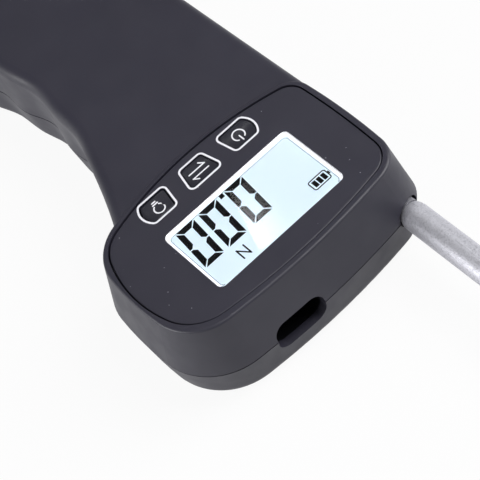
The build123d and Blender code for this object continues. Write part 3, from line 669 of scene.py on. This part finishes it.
# ------------------------------------------------------------------ keys
@dataclass
class Keys:
    """The light key, the printed lines round the three keys and the signs on their tops.

    Places along X are measured from the middle of the row, places along Y in the frame.
    """

    paints: Paints
    row_x: float = -0.14 * MM
    top: float = -11.3 * MM
    bottom: float = -17.4 * MM
    corner: float = 1.1 * MM
    inner_top: float = 8.2 * MM
    inner_bottom: float = 7.1 * MM
    outer: float = 14.2 * MM
    bulge: float = 1.3 * MM
    middle_top: float = 4.4 * MM
    middle_bottom: float = 3.1 * MM
    line_width: float = 0.46 * MM
    sign_width: float = 0.34 * MM
    ink: float = 0.02 * MM
    dish: float = 0.25 * MM
    drop: float = 0.1 * MM
    sign_shift: float = 0.1 * MM
    power_ring: float = 1.4 * MM
    power_ring_drop: float = 0.15 * MM
    power_turn: tuple[float, float] = (125, 415)
    power_bar: tuple[float, float] = (0.1 * MM, 1.6 * MM)
    arrow_reach: float = 2.1 * MM
    arrow_lift: float = 0.7 * MM
    arrow_barb: float = 0.95 * MM
    bulb_radius: float = 1.2 * MM
    bulb_lift: float = 0.45 * MM
    bulb_turn: tuple[float, float] = (-58, 238)
    bulb_lines: tuple[tuple[float, float], ...] = ((0.62 * MM, 1.05 * MM), (0.4 * MM, 1.6 * MM))
    cap_inset: float = 0.5 * MM
    edge: float = 0.25 * MM
    flange: float = 0.5 * MM
    flange_thickness: float = 0.7 * MM
    flange_depth: float = 1.6 * MM
    stem_radius: float = 1.3 * MM
    top_shares: tuple[float, ...] = (0.85, 0.65, 0.45, 0.25, 0.08, 0.01)
    crease: float = 40.0

    def outline(self, side: int) -> Outline:
        """The key's outline: -1 and 1 are the outer keys, 0 the middle one."""
        if side == 0:
            corners = [(-self.middle_bottom, self.bottom), (self.middle_bottom, self.bottom),
                       (self.middle_top, self.top), (-self.middle_top, self.top)]
            bows = [0.0] * 4
        else:
            corners = [(self.inner_bottom, self.bottom), (self.outer, self.bottom),
                       (self.outer, self.top), (self.inner_top, self.top)]
            bows = [0.0, self.bulge, 0.0, 0.0]
            if side < 0:
                corners = [(-x, y) for x, y in corners[::-1]]
        return round_outline([(self.row_x + x, y) for x, y in corners], bows, self.corner)

    def top_surface(self) -> Surface:
        """Height of the dished key tops: a cylinder about a line along X."""
        half = (self.top - self.bottom) / 2
        middle = (self.top + self.bottom) / 2
        radius = (half * half + self.dish * self.dish) / (2 * self.dish)
        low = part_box("face_plate")[1].z - self.drop - self.dish
        return lambda x, y: low + radius - np.sqrt(radius ** 2 - (y - middle) ** 2)

    def lines(self) -> None:
        """Prints the line round each key on the display plate."""
        surface = level(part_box("face_plate")[1].z)
        for side, name in ((-1, "power_key_line"), (0, "unit_key_line"), (1, "light_key_line")):
            line = frame_line(name, self.outline(side), self.line_width, surface, self.ink)
            place(line, Body.HOUSING, "white_print", self.paints)

    def centre(self, side: int) -> tuple[float, float]:
        """Middle of a key's top."""
        reach = (self.inner_top + self.outer) / 2 + self.sign_shift
        return (self.row_x + side * reach, (self.top + self.bottom) / 2 + self.sign_shift)

    def signs(self) -> None:
        """Prints a power sign, a pair of swap arrows and a lamp."""
        x, y = self.centre(-1)
        foot, tip = self.power_bar
        strokes = [arc_path((x, y - self.power_ring_drop), self.power_ring, *self.power_turn),
                   line_path((x, y + foot), (x, y + tip))]
        self._print("power_sign", strokes, Body.POWER_BUTTON)
        x, y = self.centre(0)
        strokes = []
        for turn in (1, -1):
            tip, tail = x + turn * self.arrow_reach, x - turn * self.arrow_reach
            lift, barb = y + turn * self.arrow_lift, turn * self.arrow_barb
            strokes.append(line_path((tail, lift), (tip, lift)))
            strokes.append(line_path((tip - barb, lift + barb), (tip, lift)))
        self._print("unit_sign", strokes, Body.UNIT_BUTTON)
        x, y = self.centre(1)
        strokes = [arc_path((x, y + self.bulb_lift), self.bulb_radius, *self.bulb_turn)]
        strokes += [line_path((x - half, y - low), (x + half, y - low)) for half, low in self.bulb_lines]
        self._print("light_sign", strokes, Body.LIGHT_BUTTON)

    def light_key(self) -> None:
        """Makes the light key whole: stem, flange, and a cap with the dished top of its neighbours.

        Every ring has the outline's own count of points. The cap's top edge is a quarter
        circle, inset by edge * (1 - cos a) and lowered by edge * (1 - sin a), and the top
        is the same ring drawn in towards its middle, at the dish's height.
        """
        outline, surface = self.outline(1), self.top_surface()
        low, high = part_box("light_key")
        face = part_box("face_plate")[1].z
        ledge = face - self.flange_depth
        under = ledge - self.flange_thickness
        hub = np.array([(low.x + high.x) / 2 - self.bulge / 2, (self.top + self.bottom) / 2])
        stem = hub + self.stem_radius * outline.directions
        flange = outline.grown(self.flange)
        turn = np.radians(np.array([0.0, 30.0, 60.0, 90.0]))
        rims = [outline.grown(-self.cap_inset - inset) for inset in self.edge * (1 - np.cos(turn))]
        inner = rims[-1]
        middle = inner.mean(0)
        tops = [middle + (inner - middle) * share for share in self.top_shares]
        plan = np.stack([stem, stem, flange, flange, rims[0], *rims, *tops])
        z = surface(plan[..., 0], plan[..., 1])
        sides = np.array([low.z, under, under, ledge, ledge])
        z[:len(sides)] = sides[:, None]
        z[len(sides):len(sides) + len(rims)] -= (self.edge * (1 - np.sin(turn)))[:, None]
        piece = raised("light_key_cap", plan, z)
        place(piece, Body.LIGHT_BUTTON, "key_rubber", self.paints, smooth=True)
        mark_creases(piece, radians(self.crease))
        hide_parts("light_key")

    def _print(self, name: str, strokes: Sequence[np.ndarray], body: Body) -> None:
        """Makes one sign of several strokes on a key's top."""
        surface = self.top_surface()
        parts = [stroke(f"{name}_{i}", path, self.sign_width, surface, self.ink)
                 for i, path in enumerate(strokes)]
        place(joined(name, parts), body, "white_print", self.paints)

    def build(self) -> None:
        """Makes the lines, the light key and the signs."""
        self.lines()
        self.light_key()
        self.signs()


# ------------------------------------------------------------------ display
@dataclass
class Display:
    """What the display shows, on the panel under the window, and its white frame.

    Places are measured from the panel's middle, moved by art_shift.
    """

    paints: Paints
    ink: float = 0.015 * MM
    digit_left: tuple[float, ...] = (-3.1 * MM, 4.0 * MM, 10.2 * MM)
    digit_width: float = 4.95 * MM
    digit_bottom: float = -7.9 * MM
    digit_height: float = 11.1 * MM
    segment: float = 1.35 * MM
    gap: float = 0.28 * MM
    slant: float = 0.09
    shoulder: float = 0.45
    waist: float = 0.55
    mitre: float = 0.06
    point_left: float = 2.2 * MM
    point_size: float = 1.05 * MM
    frame_width: float = 0.55 * MM
    frame_corner: float = 1.3 * MM
    line_inset: float = 0.22 * MM
    line_width: float = 0.09 * MM
    line_corner: float = 1.0 * MM
    battery_left: float = -14.9 * MM
    battery_bottom: float = 4.5 * MM
    battery_size: tuple[float, float] = (4.4 * MM, 2.6 * MM)
    battery_line: float = 0.28 * MM
    battery_corner: float = 0.45 * MM
    battery_tip: tuple[float, float] = (0.3 * MM, 0.34 * MM)
    bar_count: int = 3
    bar_first: float = 0.5 * MM
    bar_pitch: float = 1.2 * MM
    bar_width: float = 0.95 * MM
    bar_margin: float = 0.45 * MM
    sign_left: float = 7.7 * MM
    sign_bottom: float = 5.0 * MM
    sign_height: float = 2.6 * MM
    sign_aspect: float = 0.72
    sign_pen: float = 0.36 * MM
    art_shift: tuple[float, float] = (-0.6 * MM, -0.6 * MM)
    centre: Vector = field(init=False)
    surface: Surface = field(init=False)

    def __post_init__(self) -> None:
        """Finds the display's middle and the panel's top."""
        low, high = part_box("lcd_panel")
        self.centre = (low + high) / 2 + Vector((*self.art_shift, 0.0))
        self.surface = level(high.z)

    def leaned(self, points: np.ndarray) -> np.ndarray:
        """Display coordinates moved into the frame, with the digits' lean."""
        x = points[:, 0] + self.slant * (points[:, 1] - self.digit_bottom)
        return np.stack([x + self.centre.x, points[:, 1] + self.centre.y], -1)

    def segments(self, left: float) -> list[np.ndarray]:
        """Edges of the six lit segments of a nought.

        Each segment is a strip along the digit's outer line, mitred to its neighbours
        and cut back at the middle, where the unlit seventh would meet it.
        """
        right, low = left + self.digit_width, self.digit_bottom
        high, half = low + self.digit_height, low + self.digit_height / 2
        t, g = self.segment, self.gap / 2
        ledge, taper, nip = self.shoulder * t, self.waist * t, self.mitre * t
        upright = [
            np.array([(left, half + g), (left + ledge, half + g), (left + t, half + g + taper),
                      (left + t, high - t - g), (left, high - g - nip)]),
            np.array([(left, low + g + nip), (left + t, low + t + g), (left + t, half - g - taper),
                      (left + ledge, half - g), (left, half - g)]),
        ]
        mirrored = [np.stack([left + right - edge[:, 0], edge[:, 1]], -1)[::-1] for edge in upright]
        flat = [
            np.array([(left + g + nip, high), (left + t + g, high - t), (right - t - g, high - t),
                      (right - g - nip, high)]),
            np.array([(left + g + nip, low), (right - g - nip, low), (right - t - g, low + t),
                      (left + t + g, low + t)]),
        ]
        return upright + mirrored + flat

    def digits(self) -> None:
        """Makes the three noughts and the point."""
        edges = [edge for left in self.digit_left for edge in self.segments(left)]
        low, size = self.digit_bottom, self.point_size
        x = self.point_left
        edges.append(np.array([(x, low), (x + size, low), (x + size, low + size), (x, low + size)]))
        parts = [filled(f"segment_{i}", self.leaned(edge), self.surface, self.ink)
                 for i, edge in enumerate(edges)]
        place(joined("display_digits", parts), Body.HOUSING, "segment_ink", self.paints)

    def battery_sign(self) -> None:
        """Makes the charge sign: a rounded case, a terminal and three bars."""
        width, height = self.battery_size
        left, low = self.centre.x + self.battery_left, self.centre.y + self.battery_bottom
        corners = [(left, low), (left + width, low), (left + width, low + height), (left, low + height)]
        case = round_outline(corners, [0.0] * 4, self.battery_corner)
        parts = [frame_line("battery_case", case, self.battery_line, self.surface, self.ink)]
        middle = low + height / 2
        reach, pen = self.battery_tip
        tip = line_path((left - reach, middle - reach), (left - reach, middle + reach))
        parts.append(stroke("battery_tip", tip, pen, self.surface, self.ink))
        foot, top = low + self.bar_margin, low + height - self.bar_margin
        for i in range(self.bar_count):
            x = left + self.bar_first + i * self.bar_pitch
            edge = np.array([(x, foot), (x + self.bar_width, foot), (x + self.bar_width, top), (x, top)])
            parts.append(filled(f"battery_bar_{i}", edge, self.surface, self.ink))
        place(joined("battery_sign", parts), Body.HOUSING, "segment_ink", self.paints)

    def unit_letter(self) -> None:
        """Makes the unit's letter, a plain N for newton."""
        x, y = self.centre.x + self.sign_left, self.centre.y + self.sign_bottom
        width, height = self.sign_aspect * self.sign_height, self.sign_height
        turns = [(x, y), (x, y + height), (x + width, y), (x + width, y + height)]
        parts = [stroke(f"unit_{i}", line_path(*turns[i:i + 2]), self.sign_pen, self.surface, self.ink)
                 for i in range(len(turns) - 1)]
        place(joined("unit_letter", parts), Body.HOUSING, "segment_ink", self.paints)

    def white_frame(self) -> None:
        """Makes the white frame round the panel, a closed band of square section whose glow is painted
        light.
        """
        low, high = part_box("display_surround")
        corners = [(low.x, low.y), (high.x, low.y), (high.x, high.y), (low.x, high.y)]
        outline = round_outline(corners, [0.0] * 4, self.frame_corner)
        plan = np.stack([outline.grown(-self.frame_width * share) for share in (0, 0, 1, 1)], axis=1)
        heights = np.array([low.z, high.z - self.ink, high.z - self.ink, low.z])
        piece = raised("white_frame", plan, np.broadcast_to(heights, plan.shape[:2]), closed=True)
        place(piece, Body.HOUSING, "frame_white", self.paints)
        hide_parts("display_surround")

    def inner_line(self) -> None:
        """Makes the thin line inside the white frame."""
        low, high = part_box("display_surround")
        border = self.frame_width + self.line_inset
        corners = [(low.x + border, low.y + border), (high.x - border, low.y + border),
                   (high.x - border, high.y - border), (low.x + border, high.y - border)]
        line = round_outline(corners, [0.0] * 4, self.line_corner)
        place(frame_line("display_inner_line", line, self.line_width, self.surface, self.ink / 2),
              Body.HOUSING, "segment_ink", self.paints)

    def build(self) -> None:
        """Makes all that the display shows."""
        self.digits()
        self.battery_sign()
        self.unit_letter()
        self.white_frame()
        self.inner_line()


# ------------------------------------------------------------------ carried-over nodes
def dress_nodes(paints: Paints) -> None:
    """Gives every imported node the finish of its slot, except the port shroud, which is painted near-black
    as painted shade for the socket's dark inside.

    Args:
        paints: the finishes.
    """
    slots = {row["node"]: row["material_slot"] for row in frame["record"]["subparts"]}
    for name, node in frame["nodes"].items():
        node.data.materials.clear()
        # port_shroud takes socket_black: painted shade in the socket's opening
        node.data.materials.append(paints.get("socket_black" if name == "port_shroud" else slots[name]))


# ------------------------------------------------------------------ studio
@dataclass(frozen=True)
class Lamp:
    """Rectangular soft light: its name, place, width and height, and watts."""

    name: str
    spot: Triple
    size: tuple[float, float]
    power: float


@dataclass
class Studio:
    """Floor, lights, surroundings and camera."""

    camera_place: Triple = (0.0801, 0.2094, 0.3206)
    camera_right: Triple = (-0.7264, 0.6373, -0.2573)
    camera_up: Triple = (-0.6564, -0.5322, 0.5347)
    focal_share: float = 1850 / 480
    sensor: float = 36.0
    clip: tuple[float, float] = (0.01, 20.0)
    floor_size: float = 6.0
    floor_color: Color = (0.70, 0.70, 0.71)
    floor_roughness: float = 0.9
    floor_seen: float = 0.93
    floor_mirrored: tuple[float, float] = (0.6, 0.03)
    floor_turn: tuple[float, float] = (0.005, 0.045)
    world_light: float = 0.22
    lamp_target: Triple = (0.0, 0.0, 0.02)
    lamp_rows: tuple[Lamp, ...] = (
        Lamp("overhead", (-0.55, 0.25, 0.75), (0.6, 0.6), 7.6),
        Lamp("side", (0.95, -0.15, 0.26), (0.7, 0.35), 8.0),
        Lamp("far_side", (-0.80, 0.30, 0.30), (0.4, 0.3), 2.0),
        Lamp("edges", (-0.18, 0.16, 0.80), (0.08, 0.08), 0.8),
    )
    glare_edge: tuple[tuple[float, float], tuple[float, float]] = ((0.475, 0.398), (0.540, 0.520))
    glare_side: tuple[float, float] = (0.575, 0.348)
    glare_height: float = 0.5
    glare_width: float = 0.024
    glare_strength: float = 30.0
    glare_faint_end: float = 0.15
    axes: tuple[Vector, Vector, Vector] = field(init=False)

    def __post_init__(self) -> None:
        """Works out the camera's right, up and backward directions."""
        right = Vector(self.camera_right).normalized()
        up = Vector(self.camera_up)
        up = (up - right * up.dot(right)).normalized()
        self.axes = (right, up, right.cross(up))

    def floor(self) -> None:
        """Pale floor that shows white to the camera and keeps a soft shadow.

        In reflections its glow falls off along Y, over floor_turn, from one end of
        floor_mirrored to the other.
        """
        half = self.floor_size / 2
        mesh = bpy.data.meshes.new("floor")
        corners = [(-half, -half, 0.0), (half, -half, 0.0), (half, half, 0.0), (-half, half, 0.0)]
        mesh.from_pydata(corners, [], [(0, 1, 2, 3)])
        floor = bpy.data.objects.new("floor", mesh)
        bpy.context.scene.collection.objects.link(floor)
        tree = NodeTree("floor_white")
        tree.constant(Base_Color=self.floor_color, Roughness=self.floor_roughness)
        glow = tree.nodes.new("ShaderNodeEmission")
        glow.inputs["Strength"].default_value = 1.0  # one is white
        path = tree.nodes.new("ShaderNodeLightPath")
        seen = tree.math("MULTIPLY", path.outputs["Is Camera Ray"], self.floor_seen)
        mirrored = tree.math("MULTIPLY", path.outputs["Is Glossy Ray"],
                             tree.remap(tree.axis(1), *self.floor_turn, *self.floor_mirrored))
        through = tree.math("MULTIPLY", path.outputs["Is Transmission Ray"], self.floor_seen)
        share = tree.math("MAXIMUM", tree.math("MAXIMUM", seen, mirrored), through)
        mix = tree.nodes.new("ShaderNodeMixShader")
        tree.links.new(share, mix.inputs["Fac"])
        tree.links.new(tree.shader.outputs["BSDF"], mix.inputs[1])
        tree.links.new(glow.outputs["Emission"], mix.inputs[2])
        tree.links.new(mix.outputs["Shader"], tree.output.inputs["Surface"])
        mesh.materials.append(tree.material)

    def surroundings(self) -> None:
        """Even light from all round, seen as white."""
        world = bpy.data.worlds.new("studio")
        bpy.context.scene.world = world
        world.use_nodes = True
        nodes, links = world.node_tree.nodes, world.node_tree.links
        background = nodes["Background"]
        background.inputs["Color"].default_value = (1.0, 1.0, 1.0, 1.0)
        path = nodes.new("ShaderNodeLightPath")
        pick = nodes.new("ShaderNodeMapRange")
        pick.inputs["To Min"].default_value = self.world_light
        pick.inputs["To Max"].default_value = 1.0
        links.new(path.outputs["Is Camera Ray"], pick.inputs["Value"])
        links.new(pick.outputs["Result"], background.inputs["Strength"])

    def lamps(self) -> None:
        """A large light overhead, clear of the display's mirror direction, and smaller ones round it."""
        for row in self.lamp_rows:
            light = bpy.data.lights.new(row.name, "AREA")
            light.shape = "RECTANGLE"
            light.size, light.size_y = row.size
            light.energy = row.power
            lamp = bpy.data.objects.new(row.name, light)
            bpy.context.scene.collection.objects.link(lamp)
            lamp.location = row.spot
            towards = Vector(self.lamp_target) - Vector(row.spot)
            lamp.rotation_euler = towards.to_track_quat("-Z", "Y").to_euler()

    def mirrored(self, spot: tuple[float, float], height: float) -> Vector:
        """Where the camera's view of the display window is reflected to.

        A ray leaves the camera through a spot of the render, meets the window's plane
        and turns upwards with its Z component reversed.

        Args:
            spot: place in the render, as shares of its width and height from the top left.
            height: height of the level plane that the reflected ray is followed to.

        Returns:
            The point on that plane.
        """
        right, up, back = self.axes
        over, down = ((share - 0.5) / self.focal_share for share in spot)
        run = right * over - up * down - back
        start = Vector(self.camera_place)
        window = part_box("display_window")[1].z
        hit = start + run * ((window - start.z) / run.z)
        bounced = Vector((run.x, run.y, -run.z))
        return hit + bounced * ((height - window) / bounced.z)

    def glare_card(self) -> None:
        """Bright card that only reflections see: it fades away from its one sharp edge."""
        first, last = (self.mirrored(spot, self.glare_height) for spot in self.glare_edge)
        beyond = self.mirrored(self.glare_side, self.glare_height)
        along = (last - first).normalized()
        across = (beyond - first) - along * (beyond - first).dot(along)
        across.normalize()
        upward = across.cross(along)
        width, length = self.glare_width, (last - first).length
        mesh = bpy.data.meshes.new("glare_card")
        corners = [(0.0, 0.0, 0.0), (width, 0.0, 0.0), (width, length, 0.0), (0.0, length, 0.0)]
        mesh.from_pydata(corners, [], [(0, 1, 2, 3)])
        card = bpy.data.objects.new("glare_card", mesh)
        bpy.context.scene.collection.objects.link(card)
        turn = Matrix((across, along, upward)).transposed().to_4x4()
        card.matrix_world = Matrix.Translation(first) @ turn
        tree = NodeTree("card_white")
        glow = tree.nodes.new("ShaderNodeEmission")
        fade = tree.remap(tree.axis(0), 0.0, width, self.glare_strength, 0.0)
        rise = tree.remap(tree.axis(1), 0.0, length, self.glare_faint_end, 1.0)
        tree.links.new(tree.math("MULTIPLY", fade, rise), glow.inputs["Strength"])
        tree.links.new(glow.outputs["Emission"], tree.output.inputs["Surface"])
        mesh.materials.append(tree.material)
        card.visible_camera = card.visible_diffuse = card.visible_shadow = card.visible_transmission = False

    def camera(self) -> None:
        """Camera at its measured place, looking along its measured axes."""
        data = bpy.data.cameras.new("camera")
        data.sensor_width = self.sensor
        data.lens = self.sensor * self.focal_share
        data.clip_start, data.clip_end = self.clip
        camera = bpy.data.objects.new("camera", data)
        bpy.context.scene.collection.objects.link(camera)
        turn = Matrix(self.axes).transposed().to_4x4()
        camera.matrix_world = Matrix.Translation(self.camera_place) @ turn
        bpy.context.scene.camera = camera

    def build(self) -> None:
        """Sets up the studio."""
        bpy.context.scene.view_settings.view_transform = "Standard"
        self.floor()
        self.surroundings()
        self.lamps()
        self.glare_card()
        self.camera()


def main() -> None:
    """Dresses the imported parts, adds the printed pieces and sets up the studio."""
    logging.basicConfig(level=logging.INFO, format="%(name)s: %(message)s")
    paints = Paints()
    dress_nodes(paints)
    Keys(paints).build()
    Display(paints).build()
    Studio().build()


if __name__ == "__main__":
    main()
